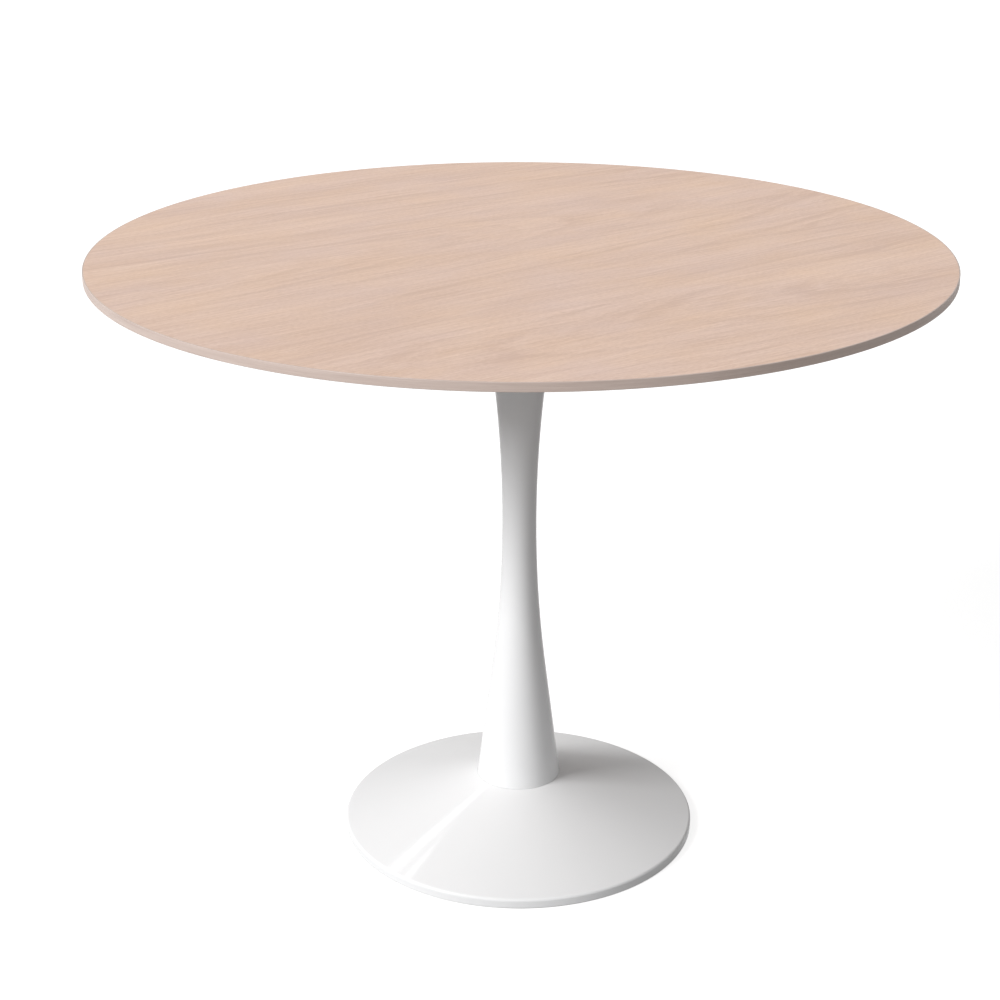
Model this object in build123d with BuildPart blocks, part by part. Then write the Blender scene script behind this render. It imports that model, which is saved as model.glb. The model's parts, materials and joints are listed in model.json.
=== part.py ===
"""Round pedestal table: a bevelled, veneered top on a spun steel column and a trumpet base.

Millimetres, +Z up. The origin is on the floor, on the axis that every piece shares.
"""

import os
from math import atan2, cos, degrees, radians, tan

from build123d import *

# Overall
TABLE_HEIGHT = 745.0

# Tabletop: fibreboard core, face veneer, balancing veneer and a solid edge band
TOP_DIAMETER = 1000.0
TOP_THICKNESS = 18.0
EDGE_HEIGHT = 10.0
BEVEL_WIDTH = 45.0
VENEER_THICKNESS = 0.6
EDGE_BAND_THICKNESS = 1.5
EDGE_ARRIS = 0.7

# Threaded inserts in the underside of the top
INSERT_DIAMETER = 9.0
INSERT_LENGTH = 12.0

# Mounting plate welded to the column's head
PLATE_DIAMETER = 280.0
PLATE_THICKNESS = 4.0
PLATE_ARRIS = 1.0

# Button-head screws and spring washers that hold the plate to the top
SCREW_COUNT = 6
SCREW_EDGE_DISTANCE = 25.0
SCREW_DIAMETER = 6.0
SCREW_LENGTH = 14.0
SCREW_HEAD_DIAMETER = 10.5
SCREW_HEAD_HEIGHT = 3.3
SCREW_HEAD_CHAMFER = 1.8
SCREW_SOCKET_WIDTH = 4.0
SCREW_SOCKET_DEPTH = 2.0
SCREW_WASHER_DIAMETER = 11.8
SCREW_WASHER_THICKNESS = 1.6

# Column: one spun tube, two straight cones that one long curve joins at the waist
WAIST_DIAMETER = 41.7
WAIST_HEIGHT = 412.0
WAIST_CURVE_RADIUS = 1540.0
COLUMN_TAPER = 7.2
COLUMN_WALL = 2.0
FOOT_ARRIS = 0.6

# Flange welded into the column's foot
FLANGE_THICKNESS = 8.0

# Base: one spun sheet, a straight cone between a rolled rim and a flat crown
BASE_DIAMETER = 440.0
RIM_HEIGHT = 12.0
RIM_RADIUS = 4.0
CROWN_HEIGHT = 68.0
CROWN_MARGIN = 1.0
CROWN_EDGE_RADIUS = 3.0
BASE_SHEET = 2.0
VENT_DIAMETER = 20.0

# Stiffening plate under the crown
CROWN_PLATE_INSET = 6.5
CROWN_PLATE_THICKNESS = 6.0

# Hexagon bolts, spring washers and flat washers that hold the base to the column
BOLT_CIRCLE = 62.0
BOLT_COUNT = 4
BOLT_DIAMETER = 8.0
BOLT_LENGTH = 25.0
BOLT_HEAD_WIDTH = 13.0
BOLT_HEAD_HEIGHT = 5.3
BOLT_POINT_CHAMFER = 1.0
BOLT_SPRING_WASHER_DIAMETER = 14.0
BOLT_SPRING_WASHER_THICKNESS = 2.0
BOLT_FLAT_WASHER_DIAMETER = 16.0
BOLT_FLAT_WASHER_THICKNESS = 1.6

# Ballast ring tacked to the inside of the cone
BALLAST_INSET = 17.5
BALLAST_BORE = 150.0
BALLAST_THICKNESS = 8.0
BALLAST_SEAT_RISE = 5.0

# Plastic ring that the rim stands on
RING_FOOT_THICKNESS = 1.5
RING_FOOT_WIDTH = 6.0
RING_SETBACK = 0.5
RING_LEG_THICKNESS = 2.0
RING_LEG_HEIGHT = 6.0

# Clearances
THREAD_PLAY = 0.1
SCREW_HOLE_PLAY = 0.5
BOLT_HOLE_PLAY = 0.5
INSERT_PLAY = 0.1
WASHER_PLAY = 0.2
WELD_GAP = 0.2
RING_PLAY = 0.1
SPRING_WASHER_SPLIT = 1.2

# Heights that follow from the stack of pieces, from the top down
top_underside = TABLE_HEIGHT - TOP_THICKNESS
edge_underside = TABLE_HEIGHT - EDGE_HEIGHT
plate_underside = top_underside - PLATE_THICKNESS
screw_head_seat = plate_underside - SCREW_WASHER_THICKNESS
crown_underside = CROWN_HEIGHT - BASE_SHEET
crown_plate_underside = crown_underside - CROWN_PLATE_THICKNESS
flat_washer_underside = crown_plate_underside - BOLT_FLAT_WASHER_THICKNESS
bolt_head_seat = flat_washer_underside - BOLT_SPRING_WASHER_THICKNESS

# Radii that follow from the diameters
core_radius = TOP_DIAMETER / 2 - EDGE_BAND_THICKNESS
bevel_slope = (TOP_THICKNESS - EDGE_HEIGHT) / BEVEL_WIDTH
bevel_inner_radius = core_radius - BEVEL_WIDTH
backing_upper_radius = bevel_inner_radius + VENEER_THICKNESS / bevel_slope
screw_circle_radius = PLATE_DIAMETER / 2 - SCREW_EDGE_DISTANCE
base_radius = BASE_DIAMETER / 2
lip_inner_radius = base_radius - BASE_SHEET

# The column's two cones would meet in a corner inside the waist's curve
taper_slope = tan(radians(COLUMN_TAPER))
corner_radius = WAIST_DIAMETER / 2 - WAIST_CURVE_RADIUS * (1 / cos(radians(COLUMN_TAPER)) - 1)
foot_radius = corner_radius + (WAIST_HEIGHT - CROWN_HEIGHT) * taper_slope
head_radius = corner_radius + (plate_underside - WAIST_HEIGHT) * taper_slope
wall_run = COLUMN_WALL / cos(radians(COLUMN_TAPER))
crown_radius = foot_radius + CROWN_MARGIN

# The cone of the base, as a straight line from the rim's corner to the crown's corner
cone_slope = (CROWN_HEIGHT - RIM_HEIGHT) / (base_radius - crown_radius)
cone_angle = degrees(atan2(CROWN_HEIGHT - RIM_HEIGHT, base_radius - crown_radius))


def cone_inside(radius):
    """Height of the cone's inner face at a radius."""
    outside = RIM_HEIGHT + (base_radius - radius) * cone_slope
    return outside - BASE_SHEET / cos(radians(cone_angle))


def column_line(inset, curve_radius):
    """The column's profile from foot to head, drawn in towards the axis by inset."""
    return FilletPolyline(
        (foot_radius - inset, CROWN_HEIGHT),
        (corner_radius - inset, WAIST_HEIGHT),
        (head_radius - inset, plate_underside),
        radius=curve_radius,
    )


def screw_places():
    """The screws' places on their circle."""
    return PolarLocations(screw_circle_radius, SCREW_COUNT)


def bolt_places():
    """The bolts' places on their circle."""
    return PolarLocations(BOLT_CIRCLE / 2, BOLT_COUNT)


def spring_washer_face(outer_diameter, bore):
    """A washer's outline at each place in turn, split by a gap on its outer side."""
    Circle(outer_diameter / 2)
    Circle(bore / 2, mode=Mode.SUBTRACT)
    Rectangle(
        outer_diameter,
        SPRING_WASHER_SPLIT,
        align=(Align.MIN, Align.CENTER),
        mode=Mode.SUBTRACT,
    )


# Tabletop

with BuildPart() as top_core:
    with BuildSketch(Plane.XZ):
        with BuildLine():
            Polyline(
                (0, top_underside + VENEER_THICKNESS),
                (backing_upper_radius, top_underside + VENEER_THICKNESS),
                (core_radius, edge_underside),
                (core_radius, TABLE_HEIGHT - VENEER_THICKNESS),
                (0, TABLE_HEIGHT - VENEER_THICKNESS),
                close=True,
            )
        make_face()
    revolve(axis=Axis.Z)
    with BuildSketch(Plane.XY.offset(top_underside)):
        with screw_places():
            Circle(INSERT_DIAMETER / 2 + INSERT_PLAY)
    extrude(amount=INSERT_LENGTH + INSERT_PLAY, mode=Mode.SUBTRACT)
top_core.part.label = "top_core"

with BuildPart() as face_veneer:
    with BuildSketch(Plane.XY.offset(TABLE_HEIGHT)):
        Circle(core_radius)
    extrude(amount=-VENEER_THICKNESS)
face_veneer.part.label = "face_veneer"

with BuildPart() as balancing_veneer:
    with BuildSketch(Plane.XZ):
        with BuildLine():
            Polyline(
                (0, top_underside),
                (bevel_inner_radius, top_underside),
                (backing_upper_radius, top_underside + VENEER_THICKNESS),
                (0, top_underside + VENEER_THICKNESS),
                close=True,
            )
        make_face()
    revolve(axis=Axis.Z)
    with BuildSketch(Plane.XY.offset(top_underside)):
        with screw_places():
            Circle(INSERT_DIAMETER / 2 + INSERT_PLAY)
    extrude(amount=VENEER_THICKNESS, mode=Mode.SUBTRACT)
balancing_veneer.part.label = "balancing_veneer"

with BuildPart() as edge_band:
    with BuildSketch(Plane.XY.offset(edge_underside)):
        Circle(TOP_DIAMETER / 2)
        Circle(core_radius, mode=Mode.SUBTRACT)
    extrude(amount=EDGE_HEIGHT)
    rim_edges = edge_band.edges().filter_by(GeomType.CIRCLE).sort_by(SortBy.RADIUS)[-2:]
    chamfer(rim_edges, EDGE_ARRIS)
edge_band.part.label = "edge_band"

with BuildPart() as insert_nuts:
    with BuildSketch(Plane.XY.offset(top_underside)):
        with screw_places():
            Circle(INSERT_DIAMETER / 2)
    extrude(amount=INSERT_LENGTH)
    with BuildSketch(Plane.XY.offset(top_underside)):
        with screw_places():
            Circle(SCREW_DIAMETER / 2 + THREAD_PLAY)
    extrude(amount=INSERT_LENGTH, mode=Mode.SUBTRACT)
insert_nuts.part.label = "insert_nuts"

# Column and its mounting plate

with BuildPart() as mounting_plate:
    with BuildSketch(Plane.XY.offset(plate_underside)):
        Circle(PLATE_DIAMETER / 2)
        with screw_places():
            Circle(SCREW_DIAMETER / 2 + SCREW_HOLE_PLAY, mode=Mode.SUBTRACT)
    extrude(amount=PLATE_THICKNESS)
    plate_rim = mounting_plate.edges().group_by(Axis.Z)[0].sort_by(SortBy.RADIUS)[-1]
    chamfer(plate_rim, PLATE_ARRIS)
mounting_plate.part.label = "mounting_plate"

with BuildPart() as plate_screws:
    with BuildSketch(Plane.XY.offset(screw_head_seat)):
        with screw_places():
            Circle(SCREW_HEAD_DIAMETER / 2)
    extrude(amount=-SCREW_HEAD_HEIGHT)
    chamfer(plate_screws.edges().group_by(Axis.Z)[0], SCREW_HEAD_CHAMFER)
    with BuildSketch(Plane.XY.offset(screw_head_seat)):
        with screw_places():
            Circle(SCREW_DIAMETER / 2)
    extrude(amount=SCREW_LENGTH)
    with BuildSketch(Plane.XY.offset(screw_head_seat - SCREW_HEAD_HEIGHT)):
        with screw_places():
            RegularPolygon(SCREW_SOCKET_WIDTH / 2, 6, major_radius=False)
    extrude(amount=SCREW_SOCKET_DEPTH, mode=Mode.SUBTRACT)
plate_screws.part.label = "plate_screws"

with BuildPart() as plate_spring_washers:
    with BuildSketch(Plane.XY.offset(screw_head_seat)):
        with screw_places():
            spring_washer_face(SCREW_WASHER_DIAMETER, SCREW_DIAMETER + 2 * WASHER_PLAY)
    extrude(amount=SCREW_WASHER_THICKNESS)
plate_spring_washers.part.label = "plate_spring_washers"

with BuildPart() as column_shell:
    with BuildSketch(Plane.XZ):
        with BuildLine():
            outer_line = column_line(0, WAIST_CURVE_RADIUS)
            inner_line = column_line(wall_run, WAIST_CURVE_RADIUS + COLUMN_WALL)
            Line(outer_line @ 0, inner_line @ 0)
            Line(outer_line @ 1, inner_line @ 1)
        make_face()
    revolve(axis=Axis.Z)
    foot_edge = column_shell.edges().group_by(Axis.Z)[0].sort_by(SortBy.RADIUS)[-1]
    chamfer(foot_edge, FOOT_ARRIS)
column_shell.part.label = "column_shell"

flange_radius = foot_radius - wall_run - WELD_GAP
flange_taper = FLANGE_THICKNESS * taper_slope
with BuildPart() as foot_flange:
    with BuildSketch(Plane.XZ):
        with BuildLine():
            Polyline(
                (VENT_DIAMETER / 2, CROWN_HEIGHT),
                (flange_radius, CROWN_HEIGHT),
                (flange_radius - flange_taper, CROWN_HEIGHT + FLANGE_THICKNESS),
                (VENT_DIAMETER / 2, CROWN_HEIGHT + FLANGE_THICKNESS),
                close=True,
            )
        make_face()
    revolve(axis=Axis.Z)
    with BuildSketch(Plane.XY.offset(CROWN_HEIGHT)):
        with bolt_places():
            Circle(BOLT_DIAMETER / 2 + THREAD_PLAY)
    extrude(amount=FLANGE_THICKNESS, mode=Mode.SUBTRACT)
foot_flange.part.label = "foot_flange"

# Base

with BuildPart() as base_shell:
    with BuildSketch(Plane.XZ):
        with BuildLine():
            FilletPolyline(
                (base_radius, RING_FOOT_THICKNESS),
                (base_radius, RIM_HEIGHT),
                (crown_radius, CROWN_HEIGHT),
                (VENT_DIAMETER / 2, CROWN_HEIGHT),
                radius=[RIM_RADIUS, CROWN_EDGE_RADIUS],
            )
            offset(amount=BASE_SHEET, side=Side.LEFT)
        make_face()
    revolve(axis=Axis.Z)
    with BuildSketch(Plane.XY.offset(CROWN_HEIGHT)):
        with bolt_places():
            Circle(BOLT_DIAMETER / 2 + BOLT_HOLE_PLAY)
    extrude(amount=-BASE_SHEET, mode=Mode.SUBTRACT)
base_shell.part.label = "base_shell"

with BuildPart() as crown_plate:
    with BuildSketch(Plane.XY.offset(crown_plate_underside)):
        Circle(crown_radius - CROWN_PLATE_INSET)
        Circle(VENT_DIAMETER / 2, mode=Mode.SUBTRACT)
        with bolt_places():
            Circle(BOLT_DIAMETER / 2 + BOLT_HOLE_PLAY, mode=Mode.SUBTRACT)
    extrude(amount=CROWN_PLATE_THICKNESS)
crown_plate.part.label = "crown_plate"

with BuildPart() as foot_flat_washers:
    with BuildSketch(Plane.XY.offset(flat_washer_underside)):
        with bolt_places():
            Circle(BOLT_FLAT_WASHER_DIAMETER / 2)
            Circle(BOLT_DIAMETER / 2 + WASHER_PLAY, mode=Mode.SUBTRACT)
    extrude(amount=BOLT_FLAT_WASHER_THICKNESS)
foot_flat_washers.part.label = "foot_flat_washers"

with BuildPart() as foot_spring_washers:
    with BuildSketch(Plane.XY.offset(bolt_head_seat)):
        with bolt_places():
            spring_washer_face(BOLT_SPRING_WASHER_DIAMETER, BOLT_DIAMETER + 2 * WASHER_PLAY)
    extrude(amount=BOLT_SPRING_WASHER_THICKNESS)
foot_spring_washers.part.label = "foot_spring_washers"

with BuildPart() as foot_bolts:
    with BuildSketch(Plane.XY.offset(bolt_head_seat)):
        with bolt_places():
            Circle(BOLT_DIAMETER / 2)
    extrude(amount=BOLT_LENGTH)
    chamfer(foot_bolts.edges().group_by(Axis.Z)[-1], BOLT_POINT_CHAMFER)
    with BuildSketch(Plane.XY.offset(bolt_head_seat)):
        with bolt_places():
            RegularPolygon(BOLT_HEAD_WIDTH / 2, 6, major_radius=False)
    extrude(amount=-BOLT_HEAD_HEIGHT)
foot_bolts.part.label = "foot_bolts"

ballast_radius = base_radius - BALLAST_INSET
ballast_seat = cone_inside(ballast_radius) - WELD_GAP
ballast_top = ballast_seat + BALLAST_SEAT_RISE
with BuildPart() as ballast_ring:
    with BuildSketch(Plane.XZ):
        with BuildLine():
            Polyline(
                (BALLAST_BORE / 2, ballast_top - BALLAST_THICKNESS),
                (ballast_radius, ballast_top - BALLAST_THICKNESS),
                (ballast_radius, ballast_seat),
                (ballast_radius - BALLAST_SEAT_RISE / cone_slope, ballast_top),
                (BALLAST_BORE / 2, ballast_top),
                close=True,
            )
        make_face()
    revolve(axis=Axis.Z)
ballast_ring.part.label = "ballast_ring"

ring_foot_radius = base_radius - RING_SETBACK
ring_leg_radius = lip_inner_radius - RING_PLAY
with BuildPart() as floor_ring:
    with BuildSketch(Plane.XZ):
        with BuildLine():
            Polyline(
                (ring_foot_radius - RING_FOOT_WIDTH, 0),
                (ring_foot_radius, 0),
                (ring_foot_radius, RING_FOOT_THICKNESS),
                (ring_leg_radius, RING_FOOT_THICKNESS),
                (ring_leg_radius, RING_FOOT_THICKNESS + RING_LEG_HEIGHT),
                (ring_leg_radius - RING_LEG_THICKNESS, RING_FOOT_THICKNESS + RING_LEG_HEIGHT),
                (ring_leg_radius - RING_LEG_THICKNESS, RING_FOOT_THICKNESS),
                (ring_foot_radius - RING_FOOT_WIDTH, RING_FOOT_THICKNESS),
                close=True,
            )
        make_face()
    revolve(axis=Axis.Z)
floor_ring.part.label = "floor_ring"

PIECES = [
    top_core,
    face_veneer,
    balancing_veneer,
    edge_band,
    insert_nuts,
    mounting_plate,
    plate_screws,
    plate_spring_washers,
    column_shell,
    foot_flange,
    base_shell,
    crown_plate,
    foot_flat_washers,
    foot_spring_washers,
    foot_bolts,
    ballast_ring,
    floor_ring,
]

os.makedirs("parts", exist_ok=True)
for piece in PIECES:
    export_step(piece.part, f"parts/{piece.part.label}.step")
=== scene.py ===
import json
import math

import bmesh
import bpy
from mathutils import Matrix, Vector


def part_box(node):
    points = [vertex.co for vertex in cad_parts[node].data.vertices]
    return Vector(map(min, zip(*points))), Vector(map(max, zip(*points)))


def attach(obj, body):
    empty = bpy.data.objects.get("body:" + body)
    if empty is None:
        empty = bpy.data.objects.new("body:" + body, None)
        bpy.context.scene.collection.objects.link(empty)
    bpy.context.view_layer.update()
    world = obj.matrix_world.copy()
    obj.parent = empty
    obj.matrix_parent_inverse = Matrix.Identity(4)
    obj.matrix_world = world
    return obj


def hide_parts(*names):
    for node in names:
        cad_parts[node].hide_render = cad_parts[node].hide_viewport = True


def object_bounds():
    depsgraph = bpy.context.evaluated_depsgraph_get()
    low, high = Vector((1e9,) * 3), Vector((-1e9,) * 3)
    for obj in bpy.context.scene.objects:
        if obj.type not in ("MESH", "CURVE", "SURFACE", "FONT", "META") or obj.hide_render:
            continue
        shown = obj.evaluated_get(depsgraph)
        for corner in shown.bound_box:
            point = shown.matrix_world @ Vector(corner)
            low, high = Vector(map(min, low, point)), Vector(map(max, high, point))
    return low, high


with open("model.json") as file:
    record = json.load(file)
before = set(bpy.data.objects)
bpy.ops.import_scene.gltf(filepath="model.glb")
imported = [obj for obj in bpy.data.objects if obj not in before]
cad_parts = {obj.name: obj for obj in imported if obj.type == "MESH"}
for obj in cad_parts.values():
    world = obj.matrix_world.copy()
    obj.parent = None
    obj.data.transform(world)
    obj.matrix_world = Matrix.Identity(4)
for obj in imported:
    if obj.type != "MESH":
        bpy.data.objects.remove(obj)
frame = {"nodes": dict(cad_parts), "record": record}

CAD_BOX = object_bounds()
NODES = frame["nodes"]
SLOT_OF = {row["node"]: row["material_slot"] for row in frame["record"]["subparts"]}

# Column: two cones that one long curve joins at the waist, in metres
WAIST_RADIUS = 0.02085
WAIST_HEIGHT = 0.412
WAIST_CURVE = 1.540
COLUMN_TAPER = math.radians(7.2)
COLUMN_WALL = 0.002
FOOT_ARRIS = 0.0006

# Base: a cone between a rolled rim and a flat crown
RIM_HEIGHT = 0.012
RIM_ROUND = 0.004
CROWN_MARGIN = 0.001
CROWN_ROUND = 0.003
BASE_SHEET = 0.002
VENT_RADIUS = 0.010

# Edge band and floor ring
BAND_THICKNESS = 0.0015
BAND_ARRIS = 0.0007
RING_FOOT_WIDTH = 0.006
RING_FOOT_THICKNESS = 0.0015
RING_LEG_SETBACK = 0.0016
RING_LEG_THICKNESS = 0.002
RING_ARRIS = 0.0004

# Screws and bolts, with their washers
SCREW_COUNT = 6
SCREW_CIRCLE = 0.115
SCREW_RADIUS = 0.003
SCREW_LENGTH = 0.014
SCREW_HEAD_RADIUS = 0.00525
SCREW_HEAD_HEIGHT = 0.0033
SCREW_FACE_RADIUS = 0.0030
SCREW_HEAD_LAND = 0.0005
SCREW_SOCKET_RADIUS = 0.0020
SCREW_SOCKET_DEPTH = 0.0020
SCREW_DOME_STEPS = 5
SCREW_WASHER_RADIUS = 0.0059
BOLT_COUNT = 4
BOLT_CIRCLE = 0.031
BOLT_RADIUS = 0.004
BOLT_HOLE_RADIUS = 0.0045
BOLT_LENGTH = 0.025
BOLT_HEAD_FLAT = 0.0065
BOLT_HEAD_HEIGHT = 0.0053
BOLT_FACE_RADIUS = 0.0061
BOLT_FACE_STEP = 0.0003
BOLT_HEAD_CHAMFER = math.radians(30)
BOLT_WASHER_RADIUS = 0.0070
POINT_CHAMFER = 0.0008
WASHER_PLAY = 0.0002
WASHER_ARRIS = 0.0002
WASHER_SPLIT = 0.0012
WASHER_SLANT = 0.5

# Weld between the column's head and the mounting plate, with its bulge as shares of the leg
WELD_LEG = 0.004
WELD_ROOT = 0.0006
WELD_BELLY = 0.62
WELD_SHOULDER = 0.55
WELD_RIPPLES = 96
WELD_RIPPLE = 0.12
WELD_RIPPLE_STEPS = 6

# Tack welds between the ballast ring's edge and the cone, with shares of the groove that they fill
TACK_COUNT = 6
TACK_LENGTH = 0.018
TACK_STEPS = 16
TACK_ROOT = 0.0006
TACK_RIPPLES = 5
TACK_RIPPLE = 0.08
TACK_DEPTH = 0.9
TACK_WIDTH = 1.3
TACK_BELLY = (0.45, 0.85)
TACK_TOE = 0.25

# Fineness of the meshes
ROUND_SEGMENTS = 192
SMALL_SEGMENTS = 24
ARC_TURN = math.radians(12)
ARC_CHORD = 0.008
FILLET_GUARD = 0.0002
SHARP_ANGLE = math.radians(28)

# Camera: a long lens a little above the top
CAMERA_PLACE = (0.0, -2.3708, 1.3427)
CAMERA_PITCH = math.radians(20.93)
CAMERA_YAW = math.radians(0.57)
CAMERA_LENS = 75.41
CAMERA_SENSOR = 36.0
CAMERA_FAR = 100.0

# Light: a large soft key from the left, two small strips behind the table, and a world that
# dims to the back right. Places are azimuth to the left of the camera, elevation and distance.
WORLD_FRONT = 0.63
WORLD_BACK = 0.11
WORLD_TURN = math.radians(16)
KEY_PLACE = (55, 32.5, 32.0)
KEY_SIZE = (12.4, 12.4)
KEY_WATTS = 9800.0
STRIP_PLACES = [(147.7, 46.6, 6.0), (147.2, 51.5, 6.0)]
STRIP_SIZES = [(0.60, 0.35), (0.50, 0.15)]
STRIP_RADIANCES = [13.0, 36.0]
LIGHT_TARGET = Vector((0.0, 0.0, 0.40))
FLOOR_SIZE = 40.0
FLOOR_DROP = 0.0003
FLOOR_GLOW = 0.80
FLOOR_SHADE = 0.42
FLOOR_BOUNCE = 0.30
WHITE = (1.0, 1.0, 1.0)
WHITE_LEVEL = 1.0


def linear(*levels):
    """An sRGB colour of 0 to 255 as the linear numbers that a shader takes."""
    shares = [level / 255 for level in levels]
    return tuple(s / 12.92 if s <= 0.04045 else ((s + 0.055) / 1.055) ** 2.4 for s in shares)


class Graph:
    """A node tree, with one short call for each kind of node that this script uses."""

    def __init__(self, tree):
        self.tree = tree

    def node(self, kind, **settings):
        made = self.tree.nodes.new(kind)
        for key, value in settings.items():
            setattr(made, key, value)
        return made

    def put(self, socket, value):
        """Links a socket, or sets a number, vector or colour on it."""
        if isinstance(value, bpy.types.NodeSocket):
            self.tree.links.new(value, socket)
        elif socket.type == "RGBA":
            socket.default_value = (*value[:3], 1.0)
        else:
            socket.default_value = value

    def fill(self, made, values):
        for socket, value in zip(made.inputs, values):
            self.put(socket, value)
        return made.outputs[0]

    def math(self, operation, *values, clamp=False):
        return self.fill(self.node("ShaderNodeMath", operation=operation, use_clamp=clamp), values)

    def vector(self, operation, *values):
        return self.fill(self.node("ShaderNodeVectorMath", operation=operation), values)

    def place(self):
        """A point of the surface in the object's own frame, in metres."""
        return self.node("ShaderNodeTexCoord").outputs["Object"]

    def turned(self, vector, angle):
        made = self.node("ShaderNodeVectorRotate", rotation_type="Z_AXIS")
        self.put(made.inputs["Vector"], vector)
        self.put(made.inputs["Angle"], angle)
        return made.outputs[0]

    def split(self, vector):
        made = self.node("ShaderNodeSeparateXYZ")
        self.put(made.inputs[0], vector)
        return made.outputs

    def join(self, x, y):
        return self.fill(self.node("ShaderNodeCombineXYZ"), (x, y))

    def total(self, *terms):
        """The sum of values, each times its share."""
        summed = 0.0
        for value, share in terms:
            summed = self.math("MULTIPLY_ADD", value, share, summed)
        return summed

    def noise(self, vector, stretch, detail=2.0, roughness=0.5):
        """Noise, about 0.3 to 0.7, with so many features to the metre on each axis."""
        made = self.node("ShaderNodeTexNoise")
        self.put(made.inputs["Vector"], self.vector("MULTIPLY", vector, stretch))
        self.put(made.inputs["Scale"], 1.0)
        self.put(made.inputs["Detail"], detail)
        self.put(made.inputs["Roughness"], roughness)
        return made.outputs["Fac"]

    def reach(self, value, start, end, low=0.0, high=1.0, curve="LINEAR"):
        """Maps start to end on to low to high, and stays there beyond them."""
        made = self.node("ShaderNodeMapRange", interpolation_type=curve)
        return self.fill(made, (value, start, end, low, high))

    def sway(self, value, amount):
        """A noise as a signed offset of about that amount."""
        return self.reach(value, *NOISE_SPAN, -amount, amount)

    def blend(self, factor, first, second):
        made = self.node("ShaderNodeMix", data_type="FLOAT")
        for index, value in zip((0, 2, 3), (factor, first, second)):
            self.put(made.inputs[index], value)
        return made.outputs[0]

    def mix(self, factor, first, second):
        made = self.node("ShaderNodeMix", data_type="RGBA")
        for index, value in zip((0, 6, 7), (factor, first, second)):
            self.put(made.inputs[index], value)
        return made.outputs[2]


class Surface(Graph):
    """A material round one Principled shader."""

    def __init__(self, name, roughness, specular=0.5, metallic=0.0):
        self.material = bpy.data.materials.new(name)
        self.material.use_nodes = True
        super().__init__(self.material.node_tree)
        self.shader = self.tree.nodes["Principled BSDF"]
        self.set("Roughness", roughness)
        self.set("Specular IOR Level", specular)
        self.set("Metallic", metallic)

    def set(self, socket, value):
        self.put(self.shader.inputs[socket], value)

    def bump(self, height, depth):
        """Raises the surface by up to depth metres."""
        made = self.node("ShaderNodeBump")
        self.put(made.inputs["Strength"], 1.0)
        self.put(made.inputs["Distance"], depth)
        self.put(made.inputs["Height"], height)
        self.set("Normal", made.outputs[0])


# Oak: plan angle of the grain from +X, the two piths under its figure as (across, depth, dip),
# the border between them, its yearly rings, and the sRGB step from a middle hue to peach
GRAIN_ANGLE = math.radians(37)
PITHS = [(-0.315, 0.080, -0.15), (0.10, 0.095, 0.16)]
PITH_BORDER = (-0.20, -0.08)
RING_WIDTH = 0.003
HUE_SHIFT = (2.6, 0.9, -3.5)

# Grain of the veneer: features to the metre along it, across it and down
DRIFT = (2.6, 8.0, 1.0)
RIPPLE = (11.0, 30.0, 1.0)
RAGGED = (14.0, 90.0, 1.0)
YEARS = (95.0, 1.0, 1.0)
PATCHES = (3.5, 12.0, 1.0)
FIBRES = (9.0, 480.0, 1.0)
FLECKS = (170.0, 420.0, 1.0)
STREAKS = (6.0, 120.0, 1.0)
BANDS = (1.6, 14.0, 1.0)
PORES = (70.0, 800.0, 1.0)
HUES = (5.5, 10.0, 1.0)

# How far the grain strays, in metres, and what each layer adds to its tone
DRIFT_SWAY = 0.007
RIPPLE_SWAY = 0.0010
RAGGED_SWAY = 0.0022
FIBRE_SHARE = 0.29
FLECK_SHARE = 0.25
STREAK_SHARE = 0.22
BAND_SHARE = 0.24
YEAR_SHARE = 0.7
RING_SHARE = 0.3
PORE_SHADE = 0.25

# Where most of one noise lies, most of a sum of several, and the parts of it that layers use
NOISE_SPAN = (0.3, 0.7)
SUM_SPAN = (0.36, 0.64)
YEAR_SPAN = (0.48, 0.66)
PATCH_SPAN = (0.38, 0.62)
PATCH_LEAST = 0.2
PORE_SPAN = (0.58, 0.70)

# Lipping: features to the metre round the rim and up it
LIPPING_FIBRES = (16.0, 900.0, 1.0)
LIPPING_STREAKS = (9.0, 220.0, 1.0)
LIPPING_PORES = (60.0, 1500.0, 1.0)
LIPPING_PORE_SPAN = (0.60, 0.72)
LIPPING_PORE_SHADE = 0.3

# Fibreboard: features to the metre, their shares in its tone, and the cutter's rings
BOARD_SPECKS = (900.0, 900.0, 900.0)
BOARD_CLOUDS = (24.0, 24.0, 24.0)
SPECK_SHARE = 0.6
CLOUD_SHARE = 0.4
CUTTER_TURNS = 9000.0
CUTTER_SHARE = 0.1

# Wood finish: gloss of the lacquer, and the relief of the grain in metres
WOOD_ROUGHNESS = 0.5
WOOD_SPECULAR = 0.4
VENEER_ROUGHNESS = (0.56, 0.46)
LIPPING_ROUGHNESS = (0.55, 0.45)
BOARD_ROUGHNESS = (0.46, 0.58)
WOOD_RELIEF = 0.00003

# Coats: features to the metre of the orange peel and of the drift in tone and gloss
COAT_PEEL = (620.0, 620.0, 620.0)
COAT_DRIFT = (5.0, 5.0, 5.0)
COAT_SPAN = (0.2, 0.8)
COAT_SHADE = 0.988
COAT_GLOSS_DRIFT = 0.025

# Zinc: features to the metre of the clouds and tool marks, and how far the gloss strays
ZINC_CLOUDS = (240.0, 240.0, 240.0)
ZINC_MARKS = (500.0, 500.0, 5200.0)
ZINC_TINT_SPAN = (0.35, 0.65)
ZINC_BRIGHT = 0.07
ZINC_DULL = 0.10
ZINC_RELIEF = 0.000012


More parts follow.
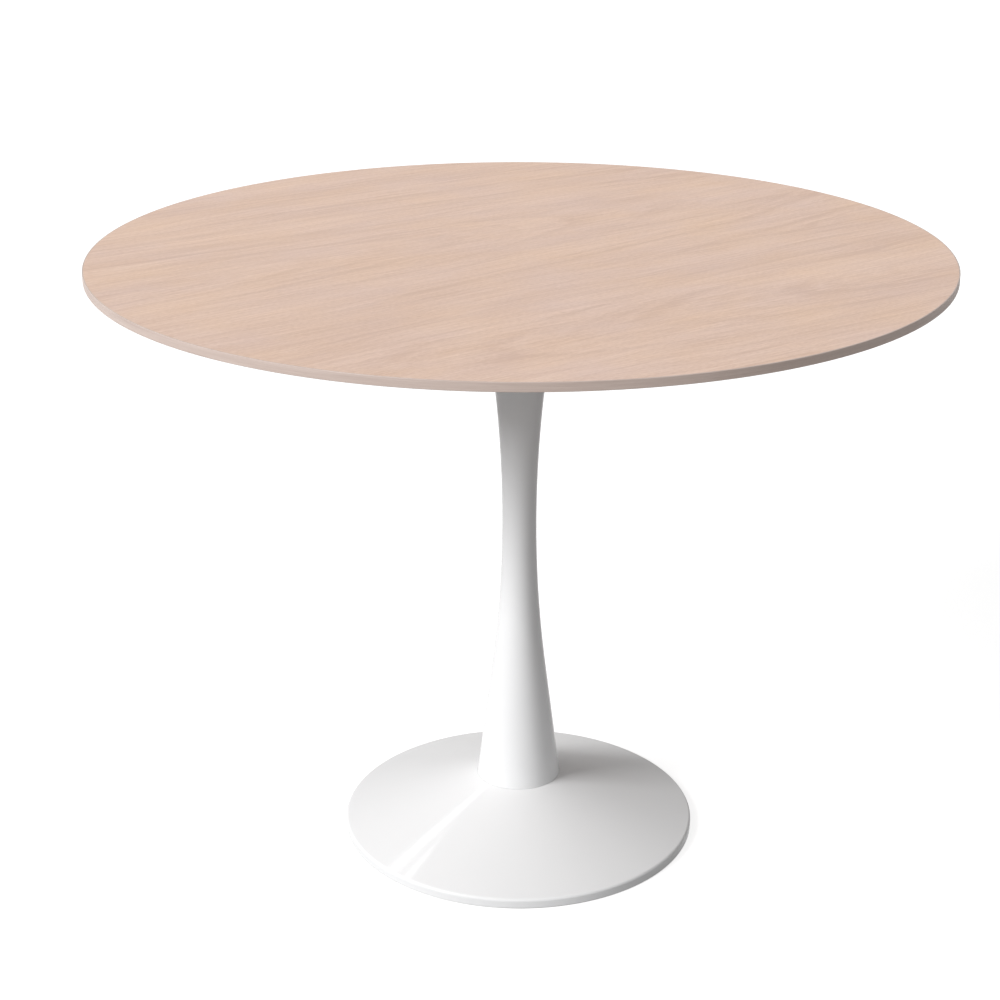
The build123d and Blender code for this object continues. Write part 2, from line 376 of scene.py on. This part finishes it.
def pith_distance(graph, along, across):
    """Distance to the pith below. The veneer has two, and their arches point opposite ways."""
    fields = []
    for centre, depth, dip in PITHS:
        offset = graph.math("SUBTRACT", across, centre)
        below = graph.math("MULTIPLY_ADD", along, dip, depth)
        square = graph.math("MULTIPLY_ADD", offset, offset, graph.math("MULTIPLY", below, below))
        fields.append(graph.math("SQRT", square))
    side = graph.reach(across, *PITH_BORDER, curve="SMOOTHSTEP")
    return graph.blend(side, *fields)


def shifted(levels, way):
    """An sRGB colour moved towards peach, or back towards rose, with its lightness kept."""
    return linear(*[level + way * step for level, step in zip(levels, HUE_SHIFT)])


def oak_veneer(name, light, dark, figure):
    """Pale oak: arched rings, fibres, flecks and pores, in blotches of rose and peach."""
    graph = Surface(name, WOOD_ROUGHNESS, WOOD_SPECULAR)
    point = graph.turned(graph.place(), -GRAIN_ANGLE)
    along, across = graph.split(point)[:2]
    across = graph.math("ADD", across, graph.sway(graph.noise(point, DRIFT), DRIFT_SWAY))
    across = graph.math("ADD", across, graph.sway(graph.noise(point, RIPPLE), RIPPLE_SWAY))
    grain = graph.join(along, across)
    ragged = graph.noise(grain, RAGGED, detail=3.0, roughness=0.6)
    distance = pith_distance(graph, along, across)
    field = graph.math("ADD", distance, graph.sway(ragged, RAGGED_SWAY))
    ring = graph.math("PINGPONG", graph.math("DIVIDE", field, RING_WIDTH), 1.0)
    year = graph.reach(graph.noise(graph.join(field, 0.0), YEARS, detail=1.0), *YEAR_SPAN)
    patch = graph.reach(graph.noise(grain, PATCHES), *PATCH_SPAN, PATCH_LEAST, 1.0)
    growth = graph.math("MULTIPLY", graph.total((ring, RING_SHARE), (year, YEAR_SHARE)), patch)
    fibre = graph.noise(grain, FIBRES, roughness=0.55)
    fleck = graph.noise(grain, FLECKS, detail=1.0)
    streak = graph.noise(grain, STREAKS)
    band = graph.noise(grain, BANDS, detail=3.0)
    pores = graph.reach(graph.noise(grain, PORES, detail=1.0), *PORE_SPAN)
    tone = graph.total(
        (fibre, FIBRE_SHARE),
        (fleck, FLECK_SHARE),
        (streak, STREAK_SHARE),
        (band, BAND_SHARE),
    )
    tone = graph.reach(tone, *SUM_SPAN)
    tone = graph.math("SUBTRACT", tone, graph.math("MULTIPLY", growth, figure))
    tone = graph.math("SUBTRACT", tone, graph.math("MULTIPLY", pores, PORE_SHADE), clamp=True)
    hue = graph.reach(graph.noise(grain, HUES, detail=4.0, roughness=0.58), *NOISE_SPAN)
    rose = graph.mix(tone, shifted(dark, -1), shifted(light, -1))
    peach = graph.mix(tone, shifted(dark, 1), shifted(light, 1))
    graph.set("Base Color", graph.mix(hue, rose, peach))
    graph.set("Roughness", graph.reach(fibre, *NOISE_SPAN, *VENEER_ROUGHNESS))
    graph.bump(graph.math("SUBTRACT", fibre, pores), WOOD_RELIEF)
    return graph.material


def oak_band(name, light, dark):
    """The band's grain runs round the rim, and its ends meet at the back."""
    graph = Surface(name, WOOD_ROUGHNESS, WOOD_SPECULAR)
    x, y, height = graph.split(graph.place())
    angle = graph.math("ARCTAN2", x, graph.math("MULTIPLY", y, -1.0))
    grain = graph.join(graph.math("MULTIPLY", angle, CAD_BOX[1][0]), height)
    fibre = graph.noise(grain, LIPPING_FIBRES, detail=3.0, roughness=0.6)
    streak = graph.noise(grain, LIPPING_STREAKS)
    pores = graph.reach(graph.noise(grain, LIPPING_PORES, detail=1.0), *LIPPING_PORE_SPAN)
    shade = graph.math("MULTIPLY", pores, LIPPING_PORE_SHADE)
    tone = graph.reach(graph.total((fibre, 0.5), (streak, 0.5)), *SUM_SPAN)
    tone = graph.math("SUBTRACT", tone, shade, clamp=True)
    graph.set("Base Color", graph.mix(tone, dark, light))
    graph.set("Roughness", graph.reach(fibre, *NOISE_SPAN, *LIPPING_ROUGHNESS))
    graph.bump(graph.math("SUBTRACT", fibre, pores), WOOD_RELIEF)
    return graph.material


def sealed_board(name, light, dark):
    """Lacquered fibreboard: fine specks, and the faint rings that the cutter left on the bevel."""
    graph = Surface(name, WOOD_ROUGHNESS, WOOD_SPECULAR)
    point = graph.place()
    height = graph.split(point)[2]
    speck = graph.noise(point, BOARD_SPECKS, roughness=0.6)
    cloud = graph.noise(point, BOARD_CLOUDS)
    tone = graph.reach(graph.total((cloud, CLOUD_SHARE), (speck, SPECK_SHARE)), *SUM_SPAN)
    cut = graph.math("SINE", graph.math("MULTIPLY", height, CUTTER_TURNS))
    graph.set("Base Color", graph.mix(tone, dark, light))
    graph.set("Roughness", graph.reach(cloud, *NOISE_SPAN, *BOARD_ROUGHNESS))
    graph.bump(graph.math("MULTIPLY_ADD", cut, CUTTER_SHARE, speck), WOOD_RELIEF)
    return graph.material


def coated(name, colour, roughness, relief, specular=0.35):
    """Powder coat or moulded plastic: a fine orange peel, and a slow drift in tone and gloss."""
    graph = Surface(name, roughness, specular)
    peel = graph.noise(graph.place(), COAT_PEEL, detail=1.0)
    drift = graph.noise(graph.place(), COAT_DRIFT)
    low = tuple(level * COAT_SHADE for level in colour)
    graph.set("Base Color", graph.mix(graph.reach(drift, *COAT_SPAN), low, colour))
    glossy = roughness - COAT_GLOSS_DRIFT
    dull = roughness + COAT_GLOSS_DRIFT
    graph.set("Roughness", graph.reach(drift, *COAT_SPAN, glossy, dull))
    graph.bump(peel, relief)
    return graph.material


def plated(name, colour, tint, roughness):
    """Bright zinc: a clouded passivation tint, fine tool marks and duller patches."""
    graph = Surface(name, roughness, metallic=1.0)
    point = graph.place()
    cloud = graph.noise(point, ZINC_CLOUDS, detail=3.0, roughness=0.6)
    marks = graph.noise(point, ZINC_MARKS)
    graph.set("Base Color", graph.mix(graph.reach(cloud, *ZINC_TINT_SPAN), colour, tint))
    bright = roughness - ZINC_BRIGHT
    dull = roughness + ZINC_DULL
    graph.set("Roughness", graph.reach(cloud, *NOISE_SPAN, bright, dull))
    graph.bump(marks, ZINC_RELIEF)
    return graph.material


# Materials: the coats' relief is in metres, and the veneers' colours are sRGB levels

WHITE_COAT = coated(
    "white_coat", (0.83, 0.834, 0.841), roughness=0.09, relief=0.000004, specular=0.06
)
BLACK_COAT = coated("black_coat", (0.020, 0.020, 0.021), roughness=0.48, relief=0.00003)
WHITE_PLASTIC = coated("white_plastic", (0.80, 0.80, 0.79), roughness=0.45, relief=0.00002)
ZINC = plated("zinc", (0.60, 0.61, 0.62), tint=(0.63, 0.61, 0.55), roughness=0.28)
OAK_FACE = oak_veneer("oak_face", light=(235, 206, 188), dark=(212, 180, 160), figure=0.55)
OAK_BACK = oak_veneer("oak_back", light=(222, 196, 177), dark=(204, 174, 155), figure=0.15)
OAK_BAND = oak_band("oak_band", light=linear(201, 184, 175), dark=linear(188, 170, 161))
BOARD = sealed_board("sealed_board", light=linear(196, 172, 156), dark=linear(176, 150, 134))

NODE_MATERIALS = {
    "face_veneer": OAK_FACE,
    "balancing_veneer": OAK_BACK,
    "edge_band": OAK_BAND,
    "top_core": BOARD,
}
SLOT_MATERIALS = {
    "white_coat": WHITE_COAT,
    "black_coat": BLACK_COAT,
    "zinc": ZINC,
    "white_plastic": WHITE_PLASTIC,
}
for node, obj in NODES.items():
    obj.data.materials.clear()
    obj.data.materials.append(NODE_MATERIALS.get(node) or SLOT_MATERIALS[SLOT_OF[node]])


# Mesh tools

def rounded(corners):
    """A closed outline from (radius, height, fillet) corners, with each fillet as short chords.

    A guard point on each side of a fillet keeps the shading of the straight beyond it flat.
    """
    outline = []
    for index, (radius, height, fillet) in enumerate(corners):
        corner = Vector((radius, height))
        if not fillet:
            outline.append(corner)
            continue
        back = (Vector(corners[index - 1][:2]) - corner).normalized()
        ahead = (Vector(corners[(index + 1) % len(corners)][:2]) - corner).normalized()
        half = back.angle(ahead) / 2
        centre = corner + (back + ahead).normalized() * fillet / math.sin(half)
        setback = fillet / math.tan(half)
        first = corner + back * setback - centre
        last = corner + ahead * setback - centre
        turn = first.angle(last)
        steps = math.ceil(max(turn / ARC_TURN, turn * fillet / ARC_CHORD))
        outline.append(corner + back * (setback + FILLET_GUARD))
        for step in range(steps + 1):
            share = turn * step / steps
            spoke = first * math.sin(turn - share) + last * math.sin(share)
            outline.append(centre + spoke / math.sin(turn))
        outline.append(corner + ahead * (setback + FILLET_GUARD))
    return outline


def circle(radius, height, segments):
    """A level ring of points about the axis, or one point where the radius is 0."""
    if radius == 0:
        return [(0.0, 0.0, height)]
    angles = [2 * math.pi * step / segments for step in range(segments)]
    return [(radius * math.cos(angle), radius * math.sin(angle), height) for angle in angles]


def hexagon(flat, height, segments):
    """A level ring of points on a hexagon, flat from its centre to each side."""
    points = []
    for x, y, z in circle(1.0, height, segments):
        side = math.atan2(y, x) % (math.pi / 3) - math.pi / 6
        reach = flat / math.cos(side)
        points.append((x * reach, y * reach, z))
    return points


def skin(shell, rings, closed):
    """Joins rings of points with faces, in order, and returns their vertices.

    A ring of one point is a pole.
    """
    loops = [[shell.verts.new(point) for point in ring] for ring in rings]
    following = loops[1:] + loops[:1] if closed else loops[1:]
    for lower, upper in zip(loops, following):
        count = max(len(lower), len(upper))
        for step in range(count if count > 1 else 0):
            ahead = (step + 1) % count
            corners = [lower[step % len(lower)], lower[ahead % len(lower)]]
            corners += [upper[ahead % len(upper)], upper[step % len(upper)]]
            shell.faces.new(list(dict.fromkeys(corners)))
    return loops


def placed(rings, radius, angle):
    """Rings moved out along +X to a radius and turned about the axis."""
    cosine = math.cos(angle)
    sine = math.sin(angle)
    moved = [[(x + radius, y, z) for x, y, z in ring] for ring in rings]
    return [
        [(x * cosine - y * sine, x * sine + y * cosine, z) for x, y, z in ring]
        for ring in moved
    ]


def set_round(outline, radius, height, angle):
    """A section's (out, up) points from a place on a circle, in the upright plane at an angle."""
    return [
        ((radius + out) * math.cos(angle), (radius + out) * math.sin(angle), height + up)
        for out, up in outline
    ]


def reach_of(node):
    """The radius of a round node, kept inside its box on all four sides."""
    low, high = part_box(node)
    return min(-low[0], -low[1], high[0], high[1])


def finish_piece(name, shell, material, replaced=()):
    """Makes a shell into a smooth piece that rides on the table and stands for CAD nodes."""
    bmesh.ops.recalc_face_normals(shell, faces=shell.faces)
    mesh = bpy.data.meshes.new(name)
    shell.to_mesh(mesh)
    shell.free()
    mesh.shade_smooth()
    mesh.set_sharp_from_angle(angle=SHARP_ANGLE)
    mesh.materials.append(material)
    piece = bpy.data.objects.new(name, mesh)
    bpy.context.scene.collection.objects.link(piece)
    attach(piece, "root")
    if replaced:
        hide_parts(*replaced)


def lathe(name, corners, material, node):
    """A closed round piece in place of a CAD node."""
    shell = bmesh.new()
    rings = [circle(radius, height, ROUND_SEGMENTS) for radius, height in rounded(corners)]
    skin(shell, rings, closed=True)
    finish_piece(name, shell, material, [node])


def fastener_group(name, sections, count, circle_radius, node):
    """One fastener's sections, repeated on a circle, in place of a CAD node."""
    shell = bmesh.new()
    for step in range(count):
        angle = 2 * math.pi * step / count
        loops = skin(shell, placed(sections, circle_radius, angle), closed=False)
        if len(loops[0]) > 1:
            shell.faces.new(loops[0])
            shell.faces.new(loops[-1])
    finish_piece(name, shell, ZINC, [node])


# Tabletop

band_low, band_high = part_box("edge_band")
top_radius = reach_of("edge_band")
veneer_radius = top_radius - BAND_THICKNESS
top_height = band_high[2]
veneer_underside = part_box("face_veneer")[0][2]

lathe(
    "oak_face",
    [
        (0, veneer_underside, 0),
        (veneer_radius, veneer_underside, 0),
        (veneer_radius, top_height, 0),
        (0, top_height, 0),
    ],
    OAK_FACE,
    "face_veneer",
)
lathe(
    "oak_lipping",
    [
        (veneer_radius, band_low[2], 0),
        (top_radius, band_low[2], BAND_ARRIS),
        (top_radius, top_height, BAND_ARRIS),
        (veneer_radius, top_height, 0),
    ],
    OAK_BAND,
    "edge_band",
)

# Column

column_low, column_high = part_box("column_shell")
foot_height = column_low[2]
head_height = column_high[2]
slope = math.tan(COLUMN_TAPER)
corner_radius = WAIST_RADIUS - WAIST_CURVE * (1 / math.cos(COLUMN_TAPER) - 1)
foot_radius = corner_radius + (WAIST_HEIGHT - foot_height) * slope
head_radius = corner_radius + (head_height - WAIST_HEIGHT) * slope
wall_run = COLUMN_WALL / math.cos(COLUMN_TAPER)

lathe(
    "spun_column",
    [
        (foot_radius, foot_height, FOOT_ARRIS),
        (corner_radius, WAIST_HEIGHT, WAIST_CURVE),
        (head_radius, head_height, 0),
        (head_radius - wall_run, head_height, 0),
        (corner_radius - wall_run, WAIST_HEIGHT, WAIST_CURVE + COLUMN_WALL),
        (foot_radius - wall_run, foot_height, 0),
    ],
    WHITE_COAT,
    "column_shell",
)


def weld_section(angle):
    """The weld's section at an angle: a convex fillet whose size ripples."""
    leg = WELD_LEG * (1 + WELD_RIPPLE * abs(math.sin(angle * WELD_RIPPLES / 2)))
    belly = leg * WELD_BELLY
    outline = [
        (-WELD_ROOT, WELD_ROOT),
        (leg, WELD_ROOT),
        (leg, 0.0),
        (belly, -belly * WELD_SHOULDER),
        (belly * WELD_SHOULDER, -belly),
        (0.0, -leg),
        (-WELD_ROOT, -leg),
    ]
    return set_round(outline, head_radius, head_height, angle)


weld_steps = WELD_RIPPLES * WELD_RIPPLE_STEPS
weld_angles = [2 * math.pi * step / weld_steps for step in range(weld_steps)]
weld_shell = bmesh.new()
skin(weld_shell, [weld_section(angle) for angle in weld_angles], closed=True)
finish_piece("head_weld", weld_shell, WHITE_COAT)

# Base

base_low, base_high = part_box("base_shell")
base_radius = reach_of("base_shell")
crown_height = base_high[2]
crown_underside = crown_height - BASE_SHEET
crown_radius = foot_radius + CROWN_MARGIN
cone_slope = (crown_height - RIM_HEIGHT) / (base_radius - crown_radius)
cone_drop = BASE_SHEET * math.hypot(1, cone_slope)
lip_radius = base_radius - BASE_SHEET
lip_corner = RIM_HEIGHT + BASE_SHEET * cone_slope - cone_drop
inner_crown = crown_radius + (BASE_SHEET - cone_drop) / cone_slope

base_outline = rounded(
    [
        (VENT_RADIUS, crown_underside, 0),
        (inner_crown, crown_underside, CROWN_ROUND - BASE_SHEET),
        (lip_radius, lip_corner, RIM_ROUND - BASE_SHEET),
        (lip_radius, base_low[2], 0),
        (base_radius, base_low[2], 0),
        (base_radius, RIM_HEIGHT, RIM_ROUND),
        (crown_radius, crown_height, CROWN_ROUND),
        (VENT_RADIUS, crown_height, 0),
    ]
)


def holed_face(shell, loops):
    """Fills a level face between its outer loop of vertices and the holes in it."""
    edges = []
    for loop in loops:
        edges += [shell.edges.get(pair) for pair in zip(loop, loop[1:] + loop[:1])]
    bmesh.ops.triangle_fill(shell, use_beauty=True, edges=edges)


base_shell = bmesh.new()
base_rings = [circle(radius, height, ROUND_SEGMENTS) for radius, height in base_outline]
skirt = skin(base_shell, base_rings[1:-1], closed=False)
crown_holes = [skin(base_shell, [base_rings[0], base_rings[-1]], closed=False)]
bolt_hole = [
    circle(BOLT_HOLE_RADIUS, crown_underside, SMALL_SEGMENTS),
    circle(BOLT_HOLE_RADIUS, crown_height, SMALL_SEGMENTS),
]
for step in range(BOLT_COUNT):
    wall = placed(bolt_hole, BOLT_CIRCLE, 2 * math.pi * step / BOLT_COUNT)
    crown_holes.append(skin(base_shell, wall, closed=False))
holed_face(base_shell, [skirt[0]] + [hole[0] for hole in crown_holes])
holed_face(base_shell, [skirt[-1]] + [hole[1] for hole in crown_holes])
finish_piece("spun_base", base_shell, WHITE_COAT, ["base_shell"])

ballast_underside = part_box("ballast_ring")[0][2]
ballast_radius = reach_of("ballast_ring")
groove_top = lip_corner + (lip_radius - ballast_radius) * cone_slope
groove_depth = groove_top - ballast_underside
groove_width = groove_depth / cone_slope


def tack_section(angle, share):
    """The tack's section at an angle: fullest at the middle, and thinner towards both ends."""
    swell = math.sqrt(math.sin(math.pi * share))
    ripple = 1 + TACK_RIPPLE * math.sin(2 * math.pi * TACK_RIPPLES * share)
    deep = groove_depth * TACK_DEPTH * swell * ripple
    wide = min(groove_width, groove_depth * TACK_WIDTH) * swell * ripple
    outline = [
        (-TACK_ROOT, TACK_ROOT),
        (-TACK_ROOT, -deep),
        (0.0, -deep),
        (wide * TACK_BELLY[0], -deep * TACK_BELLY[1]),
        (wide, -wide * cone_slope - deep * TACK_TOE),
        (wide, -wide * cone_slope + TACK_ROOT),
    ]
    return set_round(outline, ballast_radius, groove_top, angle)


tack_shell = bmesh.new()
tack_half = TACK_LENGTH / 2 / ballast_radius
tack_shares = [(step + 0.5) / TACK_STEPS for step in range(TACK_STEPS)]
for tack in range(TACK_COUNT):
    middle = 2 * math.pi * tack / TACK_COUNT
    sections = [tack_section(middle + tack_half * (2 * s - 1), s) for s in tack_shares]
    loops = skin(tack_shell, sections, closed=False)
    tack_shell.faces.new(loops[0])
    tack_shell.faces.new(loops[-1])
finish_piece("ballast_tacks", tack_shell, BLACK_COAT)

ring_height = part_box("floor_ring")[1][2]
ring_radius = reach_of("floor_ring")
leg_radius = ring_radius - RING_LEG_SETBACK

lathe(
    "floor_ring_moulding",
    [
        (ring_radius - RING_FOOT_WIDTH, 0, RING_ARRIS),
        (ring_radius, 0, RING_ARRIS),
        (ring_radius, RING_FOOT_THICKNESS, RING_ARRIS),
        (leg_radius, RING_FOOT_THICKNESS, 0),
        (leg_radius, ring_height, RING_ARRIS),
        (leg_radius - RING_LEG_THICKNESS, ring_height, RING_ARRIS),
        (leg_radius - RING_LEG_THICKNESS, RING_FOOT_THICKNESS, 0),
        (ring_radius - RING_FOOT_WIDTH, RING_FOOT_THICKNESS, RING_ARRIS),
    ],
    WHITE_PLASTIC,
    "floor_ring",
)


# Fasteners

def shank(radius, length, seat):
    """A fastener's shank from its point down to the head's seat."""
    return [
        circle(0, seat + length, SMALL_SEGMENTS),
        circle(radius - POINT_CHAMFER, seat + length, SMALL_SEGMENTS),
        circle(radius, seat + length - POINT_CHAMFER, SMALL_SEGMENTS),
        circle(radius, seat, SMALL_SEGMENTS),
    ]


def button_screw(seat):
    """A button-head screw with a hexagon socket, head down."""
    face = seat - SCREW_HEAD_HEIGHT
    dome_height = SCREW_HEAD_HEIGHT - SCREW_HEAD_LAND
    dome_width = SCREW_HEAD_RADIUS - SCREW_FACE_RADIUS
    rings = shank(SCREW_RADIUS, SCREW_LENGTH, seat)
    rings.append(circle(SCREW_HEAD_RADIUS, seat, SMALL_SEGMENTS))
    for step in range(SCREW_DOME_STEPS + 1):
        turn = math.pi / 2 * step / SCREW_DOME_STEPS
        radius = SCREW_FACE_RADIUS + dome_width * math.cos(turn)
        rings.append(circle(radius, face + dome_height * (1 - math.sin(turn)), SMALL_SEGMENTS))
    rings.append(hexagon(SCREW_SOCKET_RADIUS, face, SMALL_SEGMENTS))
    rings.append(hexagon(SCREW_SOCKET_RADIUS, face + SCREW_SOCKET_DEPTH, SMALL_SEGMENTS))
    rings.append(circle(0, face + SCREW_SOCKET_DEPTH + SCREW_HEAD_LAND, SMALL_SEGMENTS))
    return rings


def hexagon_bolt(seat):
    """A hexagon bolt with a washer face and corners turned off at 30 degrees, head down."""
    face = seat - BOLT_HEAD_HEIGHT
    rings = shank(BOLT_RADIUS, BOLT_LENGTH, seat)
    rings.append(circle(BOLT_FACE_RADIUS, seat, SMALL_SEGMENTS))
    rings.append(circle(BOLT_FACE_RADIUS, seat - BOLT_FACE_STEP, SMALL_SEGMENTS))
    rings.append(hexagon(BOLT_HEAD_FLAT, seat - BOLT_FACE_STEP, SMALL_SEGMENTS))
    rise = math.tan(BOLT_HEAD_CHAMFER)
    turned_off = []
    for x, y, z in hexagon(BOLT_HEAD_FLAT, face, SMALL_SEGMENTS):
        turned_off.append((x, y, z + (math.hypot(x, y) - BOLT_FACE_RADIUS) * rise))
    rings.append(turned_off)
    rings.append(circle(BOLT_FACE_RADIUS, face, SMALL_SEGMENTS))
    rings.append(circle(0, face, SMALL_SEGMENTS))
    return rings


def spring_washer(node, bore, outer):
    """A split washer as sections along its round, with a slanted cut."""
    low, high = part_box(node)
    bottom = low[2]
    top = high[2]
    thickness = top - bottom
    corners = (
        (bore, bottom, 1, 1),
        (outer, bottom, -1, 1),
        (outer, top, -1, -1),
        (bore, top, 1, -1),
    )
    outline = []
    for radius, height, inward, upward in corners:
        level = (radius + inward * WASHER_ARRIS, height)
        upright = (radius, height + upward * WASHER_ARRIS)
        outline += [level, upright] if inward * upward < 0 else [upright, level]
    steps = SMALL_SEGMENTS * 2
    half_gap = WASHER_SPLIT / 2 / outer
    slant = WASHER_SLANT * WASHER_SPLIT / outer / thickness
    sections = []
    for step in range(steps + 1):
        angle = half_gap + (2 * math.pi - 2 * half_gap) * step / steps
        turned = [(r, z, angle + (z - bottom - thickness / 2) * slant) for r, z in outline]
        sections.append([(r * math.cos(a), r * math.sin(a), z) for r, z, a in turned])
    return sections


screws = button_screw(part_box("plate_spring_washers")[0][2])
screw_washers = spring_washer(
    "plate_spring_washers", SCREW_RADIUS + WASHER_PLAY, SCREW_WASHER_RADIUS
)
bolts = hexagon_bolt(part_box("foot_spring_washers")[0][2])
bolt_washers = spring_washer("foot_spring_washers", BOLT_RADIUS + WASHER_PLAY, BOLT_WASHER_RADIUS)
for name, sections, node in (
    ("button_screws", screws, "plate_screws"),
    ("screw_spring_washers", screw_washers, "plate_spring_washers"),
):
    fastener_group(name, sections, SCREW_COUNT, SCREW_CIRCLE, node)
for name, sections, node in (
    ("hexagon_bolts", bolts, "foot_bolts"),
    ("bolt_spring_washers", bolt_washers, "foot_spring_washers"),
):
    fastener_group(name, sections, BOLT_COUNT, BOLT_CIRCLE, node)


# Stage

def seen_directly(graph):
    """1 for what the camera sees, also in gloss and through glass, and 0 for bounced light."""
    path = graph.node("ShaderNodeLightPath")
    either = graph.math("MAXIMUM", path.outputs["Is Camera Ray"], path.outputs["Is Glossy Ray"])
    return graph.math("MAXIMUM", either, path.outputs["Is Transmission Ray"])


def floor_material():
    """White to the eye, with the object's shadow, and a mid grey to bounced light."""
    made = bpy.data.materials.new("floor")
    made.use_nodes = True
    graph = Graph(made.node_tree)
    graph.tree.nodes.remove(graph.tree.nodes["Principled BSDF"])
    glow = graph.fill(graph.node("ShaderNodeEmission"), (WHITE, FLOOR_GLOW))
    shade = graph.fill(graph.node("ShaderNodeBsdfDiffuse"), ((FLOOR_SHADE,) * 3,))
    bounce = graph.fill(graph.node("ShaderNodeBsdfDiffuse"), ((FLOOR_BOUNCE,) * 3,))
    shown = graph.fill(graph.node("ShaderNodeAddShader"), (glow, shade))
    mixed = graph.node("ShaderNodeMixShader")
    surface = graph.fill(mixed, (seen_directly(graph), bounce, shown))
    graph.put(graph.tree.nodes["Material Output"].inputs["Surface"], surface)
    return made


bpy.ops.mesh.primitive_plane_add(size=FLOOR_SIZE, location=(0, 0, -FLOOR_DROP))
floor = bpy.context.object
floor.name = "floor"
floor.data.materials.append(floor_material())

world = bpy.data.worlds.new("studio")
world.use_nodes = True
bpy.context.scene.world = world
sky = Graph(world.node_tree)
background = world.node_tree.nodes["Background"]
sky.put(background.inputs["Color"], WHITE)
direction = sky.node("ShaderNodeTexCoord").outputs["Generated"]
towards_back = sky.split(sky.turned(direction, WORLD_TURN))[1]
light_level = sky.reach(towards_back, -1.0, 1.0, WORLD_FRONT, WORLD_BACK)
sky.put(background.inputs["Strength"], sky.blend(seen_directly(sky), light_level, WHITE_LEVEL))


def softbox(name, place, size, watts):
    """A soft rectangular light that faces the table from a place."""
    azimuth, elevation, distance = place
    light = bpy.data.lights.new(name, "AREA")
    light.shape = "RECTANGLE"
    light.size, light.size_y = size
    light.energy = watts
    lamp = bpy.data.objects.new(name, light)
    bpy.context.scene.collection.objects.link(lamp)
    turn = math.radians(azimuth)
    rise = math.radians(elevation)
    level = math.cos(rise)
    aim = Vector((-math.sin(turn) * level, -math.cos(turn) * level, math.sin(rise)))
    lamp.location = LIGHT_TARGET + aim * distance
    lamp.rotation_euler = aim.to_track_quat("Z", "Y").to_euler()


softbox("key", KEY_PLACE, KEY_SIZE, KEY_WATTS)
for place, size, radiance in zip(STRIP_PLACES, STRIP_SIZES, STRIP_RADIANCES):
    softbox(f"strip_{place[1]}", place, size, radiance * math.pi * size[0] * size[1])

lens = bpy.data.cameras.new("camera")
lens.lens = CAMERA_LENS
lens.sensor_width = CAMERA_SENSOR
lens.clip_end = CAMERA_FAR
camera = bpy.data.objects.new("camera", lens)
bpy.context.scene.collection.objects.link(camera)
camera.location = CAMERA_PLACE
camera.rotation_euler = (math.pi / 2 - CAMERA_PITCH, 0.0, CAMERA_YAW)
bpy.context.scene.camera = camera
bpy.context.scene.view_settings.view_transform = "Standard"
